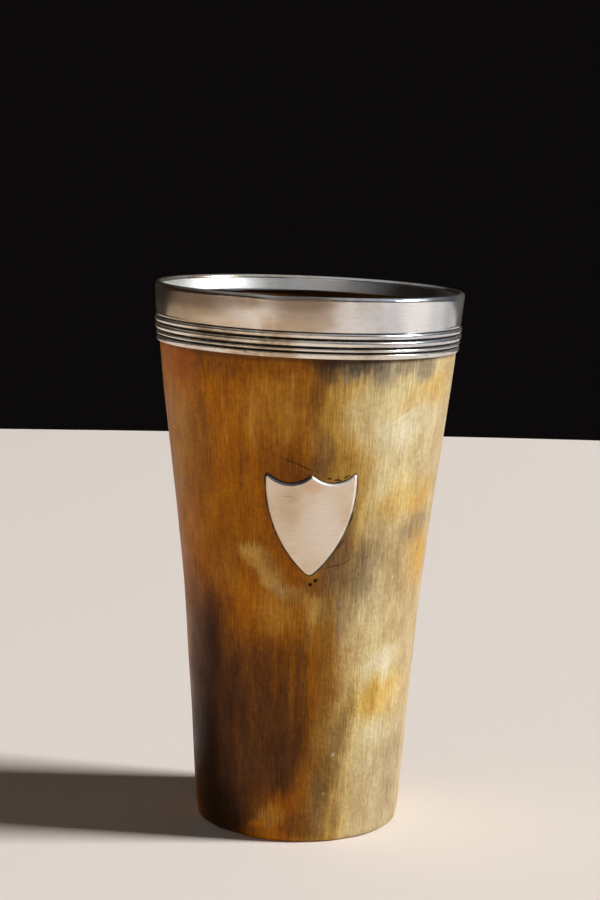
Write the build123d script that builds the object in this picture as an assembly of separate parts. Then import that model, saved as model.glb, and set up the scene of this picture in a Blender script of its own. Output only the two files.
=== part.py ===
from build123d import *
import math
import os

# A drinking beaker of formed ox horn. A silver collar is folded over its edge, a blank silver shield is
# pinned to its front, and a horn disc is sprung into a groove to make the bottom.
# It stands on its foot at Z = 0 with its axis on Z, and the shield faces -Y. All sizes are in millimetres.

# Outside of the horn: a taper from foot to mouth, drawn in at the calf and waist and full at the neck
HORN_HEIGHT = 132.6
FOOT_DIAMETER = 50.8
MOUTH_DIAMETER = 75.0
CALF_HEIGHT = 32.0
CALF_PINCH = 0.87
WAIST_HEIGHT = 66.0
WAIST_PINCH = 1.17
NECK_SWELL = 0.12

# Thickness of the horn at the foot, just under the collar and at the thinned edge
FOOT_WALL = 3.2
NECK_WALL = 2.4
EDGE_WALL = 0.8

# Worn edges of the foot, outside and inside
FOOT_ROUND = 1.4
FOOT_INNER_ROUND = 0.6

# Base disc and the groove that holds its bevelled edge
BASE_THICKNESS = 3.4
BASE_RECESS = 4.0
GROOVE_DEPTH = 1.2
GROOVE_BEVEL = 0.9
BASE_CLEARANCE = 0.05

# Silver collar: depths are measured down from the horn's edge
COLLAR_DEPTH = 13.4
COLLAR_TILT = 1.0
LINING_DEPTH = 3.2
LINING_SHEET = 0.45
LIP_SHEET = 0.5
BAND_SHEET = 0.7
BED_SHEET = 0.4
BAND_BELLY = 0.15

# Wires and edge strip soldered round the collar, from the lower edge up
WIRE_GAP = 0.45
STRIP_WIDTH = 1.2
STRIP_THICKNESS = 0.3
STRIP_ROUND = 0.2
LOWER_REED_WIDTH = 0.7
LOWER_REED_HEIGHT = 0.35
MIDDLE_REED_WIDTH = 1.4
MIDDLE_REED_HEIGHT = 0.5
UPPER_REED_WIDTH = 1.25
UPPER_REED_HEIGHT = 0.45

# Pins that fix the collar, driven through its edge strip into the horn
COLLAR_PIN_COUNT = 5
COLLAR_PIN_DIAMETER = 0.9
COLLAR_PIN_GRIP = 1.5
COLLAR_PIN_PROUD = 0.12
COLLAR_PIN_ROUND = 0.1
COLLAR_PIN_ANGLE = -25.5

# Shield: its widest level lies SHIELD_DROP below the collar's lower edge
SHIELD_DROP = 29.0
SHIELD_WIDTH = 21.4
SHIELD_TIP_DROP = 23.3
SHIELD_CORNER_RISE = 2.1
SHIELD_PEAK_DROP = 0.5
SHIELD_SCALLOP_DROP = 2.7
SHIELD_THICKNESS = 0.8
SHIELD_BEVEL = 0.18

# Pins soldered to the back of the shield and headed over inside the cup
SHIELD_PIN_DIAMETER = 1.2
SHIELD_PIN_INSET = 4.0
SHIELD_PIN_CLEARANCE = 0.03
RIVET_DIAMETER = 2.2
RIVET_HEIGHT = 0.5
RIVET_ROUND = 0.4

# Extra length on blanks and cutters, trimmed away again
TRIM = 3.0

FOOT_RADIUS = FOOT_DIAMETER / 2
MOUTH_RADIUS = MOUTH_DIAMETER / 2
NECK_HEIGHT = HORN_HEIGHT - COLLAR_DEPTH
BLANK_HEIGHT = HORN_HEIGHT + TRIM
SHIELD_LEVEL = NECK_HEIGHT - SHIELD_DROP


def wall_at(height):
    """Thickness of the horn: even steps from foot to neck and from neck to edge."""
    if height <= NECK_HEIGHT:
        return FOOT_WALL + (NECK_WALL - FOOT_WALL) * height / NECK_HEIGHT
    return NECK_WALL + (EDGE_WALL - NECK_WALL) * (height - NECK_HEIGHT) / COLLAR_DEPTH


def taper_at(height):
    """Radius of a straight taper from foot to mouth."""
    return FOOT_RADIUS + (MOUTH_RADIUS - FOOT_RADIUS) * height / HORN_HEIGHT


def side_curve(offset=0.0):
    """The horn's side in the XZ plane, moved out by offset and carried on past the mouth for trimming."""
    neck_radius = taper_at(NECK_HEIGHT) + NECK_SWELL
    flare = (MOUTH_RADIUS - neck_radius) / COLLAR_DEPTH
    return Spline(
        (FOOT_RADIUS + offset, 0, 0),
        (taper_at(CALF_HEIGHT) - CALF_PINCH + offset, 0, CALF_HEIGHT),
        (taper_at(WAIST_HEIGHT) - WAIST_PINCH + offset, 0, WAIST_HEIGHT),
        (neck_radius + offset, 0, NECK_HEIGHT),
        (MOUTH_RADIUS + offset, 0, HORN_HEIGHT),
        (MOUTH_RADIUS + flare * TRIM + offset, 0, BLANK_HEIGHT),
    )


def place_at(curve, height):
    """How far along a rising curve, from 0 to 1, it reaches a height."""
    low, high = 0.0, 1.0
    for _ in range(40):
        middle = (low + high) / 2
        if (curve @ middle).Z < height:
            low = middle
        else:
            high = middle
    return low


def radius_at(curve, height):
    """Distance of a rising curve from the axis at one height."""
    return (curve @ place_at(curve, height)).X


def inner_curve(outside):
    """The inside of the horn in the XZ plane, one wall in from its outside."""
    shoulder = (WAIST_HEIGHT + NECK_HEIGHT) / 2
    heights = [0, CALF_HEIGHT, WAIST_HEIGHT, shoulder, NECK_HEIGHT, HORN_HEIGHT, BLANK_HEIGHT]
    return Spline([(radius_at(outside, height) - wall_at(height), 0, height) for height in heights])


def turned(*edges):
    """A closed outline in the XZ plane turned about the axis."""
    return revolve(make_face(list(edges)), Axis.Z)


def skin(thickness):
    """A layer of even thickness over the whole outside of the horn."""
    under, over = OUTSIDE, side_curve(thickness)
    return turned(under, Line(under @ 1, over @ 1), over, Line(over @ 0, under @ 0))


def ring(points):
    """A ring whose section is a polygon of (radius, height) points."""
    corners = [(radius, 0, height) for radius, height in points]
    return revolve(make_face(Polyline(corners, close=True)), Axis.Z)


OUTSIDE = side_curve()
INSIDE = inner_curve(OUTSIDE)

# The collar sits a degree out of square. Its frame has its origin at the middle of the collar.
COLLAR_MIDDLE = HORN_HEIGHT - COLLAR_DEPTH / 2
COLLAR_FRAME = Pos(0, 0, COLLAR_MIDDLE) * Rot(0, COLLAR_TILT, 0) * Pos(0, 0, -COLLAR_MIDDLE)

# Heights of the soldered wires, stacked from the collar's lower edge
STRIP_TOP = NECK_HEIGHT + STRIP_WIDTH
LOWER_REED_LEVEL = STRIP_TOP + WIRE_GAP + LOWER_REED_WIDTH / 2
MIDDLE_REED_LEVEL = LOWER_REED_LEVEL + LOWER_REED_WIDTH / 2 + WIRE_GAP + MIDDLE_REED_WIDTH / 2
UPPER_REED_LEVEL = MIDDLE_REED_LEVEL + MIDDLE_REED_WIDTH / 2 + WIRE_GAP + UPPER_REED_WIDTH / 2
BAND_LEVEL = UPPER_REED_LEVEL + UPPER_REED_WIDTH / 2 + WIRE_GAP / 2


def bed_radius(height):
    """Outer radius of the sheet that the wires are soldered to, a plain cone."""
    foot = radius_at(OUTSIDE, NECK_HEIGHT) + BED_SHEET
    head = radius_at(OUTSIDE, BAND_LEVEL) + BED_SHEET
    return foot + (head - foot) * (height - NECK_HEIGHT) / (BAND_LEVEL - NECK_HEIGHT)


# Turns a part that stands on local Z to point out of the front, with local X up
FACING_OUT = Rot(90, 0, 0) * Rot(0, 0, 90)


def collar_pin_placements():
    """Places round the edge strip where a pin goes in, with local Z pointing outwards and local X up."""
    level = NECK_HEIGHT + STRIP_WIDTH / 2
    seat = bed_radius(level) + STRIP_THICKNESS
    for index in range(COLLAR_PIN_COUNT):
        turn = COLLAR_PIN_ANGLE + index * 360 / COLLAR_PIN_COUNT
        yield COLLAR_FRAME * Rot(0, 0, turn) * Pos(0, -seat, level) * FACING_OUT


def collar_pin_set():
    """Plain silver pins with a slightly domed head, standing just proud of the strip."""
    length = COLLAR_PIN_GRIP + BED_SHEET + STRIP_THICKNESS + COLLAR_PIN_PROUD
    shank = Pos(0, 0, COLLAR_PIN_PROUD) * Cylinder(
        COLLAR_PIN_DIAMETER / 2, length, align=(Align.CENTER, Align.CENTER, Align.MAX)
    )
    pin = fillet(shank.edges().sort_by(Axis.Z)[-1], COLLAR_PIN_ROUND)
    return [place * pin for place in collar_pin_placements()]


def shield_pin_levels():
    """Heights of the two shield pins, one under the peak and one above the tip."""
    peak = SHIELD_LEVEL + SHIELD_CORNER_RISE - SHIELD_PEAK_DROP
    tip = SHIELD_LEVEL - SHIELD_TIP_DROP
    return [peak - SHIELD_PIN_INSET, tip + SHIELD_PIN_INSET]


def towards_front(level, radius, near, far):
    """A round bar across the front wall at one level, between two distances from the axis."""
    bar = Cylinder(radius, far - near, align=(Align.CENTER, Align.CENTER, Align.MIN))
    return Pos(0, -near, level) * FACING_OUT * bar


def make_horn_blank():
    """Formed horn before drilling: a tapering tube with a rounded foot and a groove inside for the base."""
    recess = INSIDE.trim(0, place_at(INSIDE, BASE_RECESS))
    bore = INSIDE.trim(place_at(INSIDE, BASE_RECESS + BASE_THICKNESS), 1)
    groove = [(radius, 0, height) for radius, height in base_edge(0.0)]
    tube = turned(
        OUTSIDE,
        Line(OUTSIDE @ 1, bore @ 1),
        bore,
        Polyline(recess @ 1, *groove, bore @ 0),
        recess,
        Line(recess @ 0, OUTSIDE @ 0),
    )
    foot_edges = tube.edges().filter_by(GeomType.CIRCLE).group_by(Axis.Z)[0].sort_by(SortBy.RADIUS)
    tube = fillet(foot_edges[-1], FOOT_ROUND)
    foot_edges = tube.edges().filter_by(GeomType.CIRCLE).group_by(Axis.Z)[0].sort_by(SortBy.RADIUS)
    tube = fillet(foot_edges[0], FOOT_INNER_ROUND)
    above_edge = COLLAR_FRAME * Pos(0, 0, HORN_HEIGHT) * Cylinder(
        MOUTH_DIAMETER, 2 * TRIM, align=(Align.CENTER, Align.CENTER, Align.MIN)
    )
    return tube - above_edge


def make_horn_body(blank):
    """The horn with its pin holes drilled: blind ones under the collar, two right through for the shield."""
    hole = SHIELD_PIN_DIAMETER / 2 + SHIELD_PIN_CLEARANCE
    drills = [towards_front(level, hole, 0, MOUTH_RADIUS + TRIM) for level in shield_pin_levels()]
    return blank - collar_pin_set() - drills


def base_edge(clearance):
    """Radius and height of the base's two edge corners, drawn in from their groove by a clearance."""
    low, high = BASE_RECESS, BASE_RECESS + BASE_THICKNESS
    groove = radius_at(INSIDE, (low + high) / 2) + GROOVE_DEPTH - clearance
    return [(groove, low + GROOVE_BEVEL), (groove, high - GROOVE_BEVEL)]


def make_base_disc():
    """Horn disc with a bevelled edge, sprung into the groove above the foot."""
    low, high = BASE_RECESS, BASE_RECESS + BASE_THICKNESS
    under = (radius_at(INSIDE, low) - BASE_CLEARANCE, low)
    upper = (radius_at(INSIDE, high) - BASE_CLEARANCE, high)
    return ring([(0, low), under, *base_edge(BASE_CLEARANCE), upper, (0, high)])


def make_rim_collar(horn):
    """Silver sheet folded over the undrilled horn: a bellied band outside and a short lining inside."""
    edge, lining = HORN_HEIGHT, HORN_HEIGHT - LINING_DEPTH
    lip_out = MOUTH_RADIUS + LIP_SHEET
    lip_in = MOUTH_RADIUS - EDGE_WALL - LINING_SHEET
    band = radius_at(OUTSIDE, BAND_LEVEL) + BAND_SHEET
    belly = ((lip_out + band) / 2 + BAND_BELLY, 0, (edge + BAND_LEVEL) / 2)
    lip_top = ((lip_out + lip_in) / 2, 0, edge + (lip_out - lip_in) / 2)
    lining_foot = radius_at(INSIDE, lining) - LINING_SHEET
    wall_middle_high = radius_at(OUTSIDE, lining) - wall_at(lining) / 2
    wall_middle_low = radius_at(OUTSIDE, NECK_HEIGHT) - NECK_WALL / 2
    inside_and_bed = Polyline(
        (lip_in, 0, edge),
        (lining_foot, 0, lining),
        (wall_middle_high, 0, lining),
        (wall_middle_low, 0, NECK_HEIGHT),
        (bed_radius(NECK_HEIGHT), 0, NECK_HEIGHT),
        (bed_radius(BAND_LEVEL), 0, BAND_LEVEL),
        (band, 0, BAND_LEVEL),
    )
    blank = turned(
        ThreePointArc((band, 0, BAND_LEVEL), belly, (lip_out, 0, edge)),
        ThreePointArc((lip_out, 0, edge), lip_top, (lip_in, 0, edge)),
        inside_and_bed,
    )
    return COLLAR_FRAME * blank - horn - collar_pin_set()


def make_reed(level, width, height):
    """Half-round wire soldered round the collar's bed."""
    low, high = level - width / 2, level + width / 2
    start = (bed_radius(low), 0, low)
    end = (bed_radius(high), 0, high)
    crest = (bed_radius(level) + height, 0, level)
    return COLLAR_FRAME * turned(ThreePointArc(start, crest, end), Line(end, start))


def make_edge_strip():
    """Flat strip that closes the collar's lower edge, with its lower corner rounded."""
    low, high = NECK_HEIGHT, STRIP_TOP
    section = make_face(
        Polyline(
            (bed_radius(low), 0, low),
            (bed_radius(low) + STRIP_THICKNESS, 0, low),
            (bed_radius(high) + STRIP_THICKNESS, 0, high),
            (bed_radius(high), 0, high),
            close=True,
        )
    )
    lower_corner = section.vertices().group_by(Axis.Z)[0].sort_by(Axis.X)[-1]
    return COLLAR_FRAME * revolve(fillet(lower_corner, STRIP_ROUND), Axis.Z) - collar_pin_set()


def shield_outline():
    """Shield seen from the front: two scallops along the top, and sides that are arcs down to the tip."""
    half, tip = SHIELD_WIDTH / 2, SHIELD_LEVEL - SHIELD_TIP_DROP
    side_radius = (half**2 + SHIELD_TIP_DROP**2) / (2 * half)

    def side_at(rise):
        return half - side_radius + math.sqrt(side_radius**2 - rise**2)

    corner_level = SHIELD_LEVEL + SHIELD_CORNER_RISE
    corner = side_at(SHIELD_CORNER_RISE)
    peak = (0, corner_level - SHIELD_PEAK_DROP)
    dip_level = corner_level - SHIELD_SCALLOP_DROP
    edges = []
    for hand in (-1, 1):
        top = (hand * corner, corner_level)
        edges.append(ThreePointArc(top, (hand * half, SHIELD_LEVEL), (0, tip)))
        edges.append(ThreePointArc(peak, (hand * corner / 2, dip_level), top))
    return make_face(edges)


def make_shield_plate():
    """Silver plate bent to the curve of the horn, with a fine bevel round its face."""
    prism = extrude(Plane.XZ.offset(FOOT_RADIUS / 2) * shield_outline(), MOUTH_RADIUS)
    plate = prism & skin(SHIELD_THICKNESS)
    front = plate.faces().sort_by(SortBy.AREA)[-1]
    return chamfer(front.edges(), SHIELD_BEVEL)


def make_shield_pins(horn, plate):
    """Two silver pins through the horn, each with a head closed down on the undrilled horn's inner wall."""
    pins = []
    for level in shield_pin_levels():
        inner, outer = radius_at(INSIDE, level), radius_at(OUTSIDE, level)
        shank = towards_front(
            level, SHIELD_PIN_DIAMETER / 2, inner - RIVET_HEIGHT / 2, outer + SHIELD_THICKNESS / 2
        )
        head = towards_front(level, RIVET_DIAMETER / 2, inner - RIVET_HEIGHT, inner + RIVET_HEIGHT)
        head = fillet(head.edges().sort_by(Axis.Y)[-1], RIVET_ROUND)
        pins.append((head - horn) + (shank - plate))
    return pins


def save(name, *solids):
    """Writes one named piece, or a group of like pieces, to its own file."""
    export_step(solids[0] if len(solids) == 1 else Compound(children=list(solids)), f"parts/{name}.step")


os.makedirs("parts", exist_ok=True)
horn_blank = make_horn_blank()
shield_plate = make_shield_plate()
save("horn_body", make_horn_body(horn_blank))
save("base_disc", make_base_disc())
save("rim_collar", make_rim_collar(horn_blank))
save("upper_reed", make_reed(UPPER_REED_LEVEL, UPPER_REED_WIDTH, UPPER_REED_HEIGHT))
save("middle_reed", make_reed(MIDDLE_REED_LEVEL, MIDDLE_REED_WIDTH, MIDDLE_REED_HEIGHT))
save("lower_reed", make_reed(LOWER_REED_LEVEL, LOWER_REED_WIDTH, LOWER_REED_HEIGHT))
save("edge_strip", make_edge_strip())
save("collar_pins", *collar_pin_set())
save("shield_plate", shield_plate)
save("shield_pins", *make_shield_pins(horn_blank, shield_plate))
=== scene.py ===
import math

import bmesh
import bpy
import numpy as np
from mathutils import Matrix, Vector, noise


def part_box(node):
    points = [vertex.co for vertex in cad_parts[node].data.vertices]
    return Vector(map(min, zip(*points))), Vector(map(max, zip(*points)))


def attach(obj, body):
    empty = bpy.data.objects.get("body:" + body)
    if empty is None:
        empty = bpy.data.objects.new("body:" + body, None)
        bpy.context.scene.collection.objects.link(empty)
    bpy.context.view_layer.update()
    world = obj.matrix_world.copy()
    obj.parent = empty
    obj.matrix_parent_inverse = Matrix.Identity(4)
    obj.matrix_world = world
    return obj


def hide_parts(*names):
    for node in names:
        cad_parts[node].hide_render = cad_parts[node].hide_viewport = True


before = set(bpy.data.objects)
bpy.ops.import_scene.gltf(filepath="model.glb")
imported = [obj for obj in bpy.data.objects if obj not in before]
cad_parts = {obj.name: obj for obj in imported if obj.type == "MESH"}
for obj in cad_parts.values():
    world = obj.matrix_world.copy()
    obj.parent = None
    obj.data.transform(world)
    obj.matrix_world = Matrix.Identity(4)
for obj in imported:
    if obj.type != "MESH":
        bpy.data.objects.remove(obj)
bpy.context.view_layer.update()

# Horn body: one length of ox horn, softened by heat, pressed round over a former and scraped to a taper.
# Its fibres run from foot to mouth. Years of use have rounded the foot and left small chips, pits and dents.
MM = 0.001
TINY = 1e-6
HORN_TURN_STEPS = 256
HORN_ROWS = 104
BORE_ROWS = 40
HORN_TOP = 131.4 * MM
FOOT_ROUND = 1.4 * MM
FOOT_ROUND_STEPS = 5
FOOT_INNER_ROUND = 0.6 * MM
FOOT_INNER_STEPS = 3
# The lowest row of faces is this high, so that the rounding of the foot fits under it.
FOOT_ROW = 3.0 * MM
# The walls of the CAD node are read from just above the foot to the top, without the rows that hold its pin
# holes and the groove for its base.
FIT_LOW = 1.0 * MM
FIT_TOP = 130.6 * MM
PIN_HOLES = (118.4 * MM, 121.4 * MM)
BASE_GAP = (3.8 * MM, 7.8 * MM)
# A face belongs to a wall when this much of its normal points straight out or in. Then the curve's degree.
WALL_FACING = 0.8
WALL_FIT = 8
SCRAPE_DEPTH = 0.16 * MM
SCRAPE_SIZE = 17.0 * MM
FOOT_WEAR = 0.4 * MM
FOOT_WEAR_EVEN = 0.5
FOOT_WEAR_HEIGHT = 5.0 * MM
FOOT_WEAR_SIZE = 7.0 * MM
# Bearing in degrees, then height, half width, half height and depth of each chip.
FOOT_CHIPS = [
    (-31, 3.6 * MM, 6.0 * MM, 2.4 * MM, 0.45 * MM),
    (-20, 2.4 * MM, 3.5 * MM, 1.8 * MM, 0.35 * MM),
    (9, 1.6 * MM, 4.0 * MM, 1.5 * MM, 0.3 * MM),
    (128, 2.2 * MM, 5.0 * MM, 2.0 * MM, 0.4 * MM),
    (-150, 1.8 * MM, 3.0 * MM, 1.6 * MM, 0.35 * MM),
]
# Two small holes bored or eaten into the horn just under the tip of the shield.
SHIELD_PITS = [(3.0, 66.0 * MM), (0.8, 65.0 * MM)]
PIT_RADIUS = 0.42 * MM
PIT_DEPTH = 0.8 * MM
# The skin round the pits is divided finely, this many degrees to each side and between these heights.
PIT_FIELD_HALF = 8.0
PIT_FIELD_LOW = 62.0 * MM
PIT_FIELD_HIGH = 69.0 * MM
PIT_CUTS = 4
# Places of the horn's materials on its mesh.
OILED_OUTSIDE = 0
STAINED_INSIDE = 1


def turned_wall(node, facing, low, high, skip):
    """Radius by height of a turned node's outer (facing 1) or inner (facing -1) wall, as a smooth curve."""
    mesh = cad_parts[node].data
    heights = []
    radii = []
    for face in mesh.polygons:
        lean = face.normal.to_2d().dot(face.center.to_2d().normalized())
        if lean * facing < WALL_FACING:
            continue
        for index in face.vertices:
            point = mesh.vertices[index].co
            if low <= point.z <= high and not skip[0] < point.z < skip[1]:
                heights.append(point.z)
                radii.append(point.to_2d().length)
    return np.polynomial.Polynomial.fit(heights, radii, WALL_FIT)


def outline(shape, points, closed=False):
    """Vertices and edges through (radius, height) points in the XZ plane, ready to be turned."""
    corners = [shape.verts.new((radius, 0, height)) for radius, height in points]
    for first, second in zip(corners, corners[1:]):
        shape.edges.new((first, second))
    if closed:
        shape.edges.new((corners[-1], corners[0]))


def turn(shape, steps):
    """Turns everything in a mesh about the axis and makes its faces point outwards."""
    bmesh.ops.spin(
        shape, geom=shape.verts[:] + shape.edges[:], cent=(0, 0, 0), axis=(0, 0, 1), angle=math.tau,
        steps=steps, use_merge=True,
    )
    bmesh.ops.remove_doubles(shape, verts=shape.verts[:], dist=TINY)
    bmesh.ops.recalc_face_normals(shape, faces=shape.faces[:])


def round_edges(shape, edges, radius, segments):
    """Rounds edges to a radius."""
    bmesh.ops.bevel(
        shape, geom=edges, offset=radius, offset_type="OFFSET", affect="EDGES", segments=segments,
        profile=0.5, material=-1,
    )


def bearing(point):
    """Degrees round the cup from the middle of the shield, positive to the right."""
    return math.degrees(math.atan2(point.x, -point.y))


def bump(distance, reach):
    """A smooth hill, 1 at distance 0 and 0 beyond its reach."""
    return max(0.0, 1.0 - (distance / reach) ** 2) ** 2


def finish_piece(shape, name, slot, *materials):
    """Makes a smooth object of a mesh, rides it on the cup and lets it stand for the CAD node of its name."""
    for face in shape.faces:
        face.smooth = True
    mesh = bpy.data.meshes.new(name)
    shape.to_mesh(mesh)
    shape.free()
    for material in materials:
        mesh.materials.append(material)
    piece = bpy.data.objects.new(name + "_piece", mesh)
    bpy.context.scene.collection.objects.link(piece)
    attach(piece, "root")
    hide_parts(name)


def colour(code):
    """Linear colour of an sRGB hex code."""
    parts = [int(code[place:place + 2], 16) / 255 for place in (1, 3, 5)]
    linear = [part / 12.92 if part <= 0.04045 else ((part + 0.055) / 1.055) ** 2.4 for part in parts]
    return (*linear, 1.0)


def add(tree, kind, inputs=(), stops=(), **settings):
    """Adds a node with its settings. An input takes a constant, or a socket to link from.

    Stops are (position, colour) pairs for a colour ramp, in rising order.
    """
    made = tree.nodes.new(kind)
    for name, value in settings.items():
        setattr(made, name, value)
    for key, value in dict(inputs).items():
        if isinstance(value, bpy.types.NodeSocket):
            tree.links.new(value, made.inputs[key])
        else:
            made.inputs[key].default_value = value
    for index, (position, shade) in enumerate(stops):
        elements = made.color_ramp.elements
        element = elements[index] if index < len(elements) else elements.new(position)
        element.position = position
        element.color = shade
    return made


def new_material(name):
    """An empty node material, with its tree and its shader."""
    material = bpy.data.materials.new(name)
    material.use_nodes = True
    tree = material.node_tree
    return material, tree, tree.nodes["Principled BSDF"]


# Natural ox horn, scraped and oiled: a satin, slightly waxy skin over colour that lies in depth. Smoky brown
# clouds drift through amber and straw along the fibre, so edges between colours are feathered upwards.
HORN_COLOURS = {
    "amber": colour("#945B04"),
    "bronze": colour("#825308"),
    "golden": colour("#AE8A40"),
    "honey": colour("#BC9E5A"),
    "straw": colour("#BDB08C"),
    "cream": colour("#CBC6B6"),
    "tan": colour("#AE9E80"),
    "buff": colour("#A08E70"),
    "fawn": colour("#B09052"),
    "clay": colour("#968A74"),
    "smoke": colour("#7F7A6E"),
    "dusk": colour("#6C5A44"),
    "olive": colour("#765E36"),
    "umber": colour("#653E12"),
    "russet": colour("#8A4208"),
    "plum": colour("#3F2614"),
    "black_brown": colour("#1C0F06"),
    "grime": colour("#110A06"),
}
MEAN_RADIUS = 30.0
# The ground colour by degrees round from the middle of the shield.
HORN_GROUND = [
    (-180, "bronze"), (-110, "amber"), (-60, "amber"), (-4, "amber"), (7, "golden"), (19, "honey"),
    (30, "straw"), (46, "straw"), (60, "tan"), (104, "tan"), (140, "golden"), (162, "amber"),
    (180, "bronze"),
]
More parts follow.
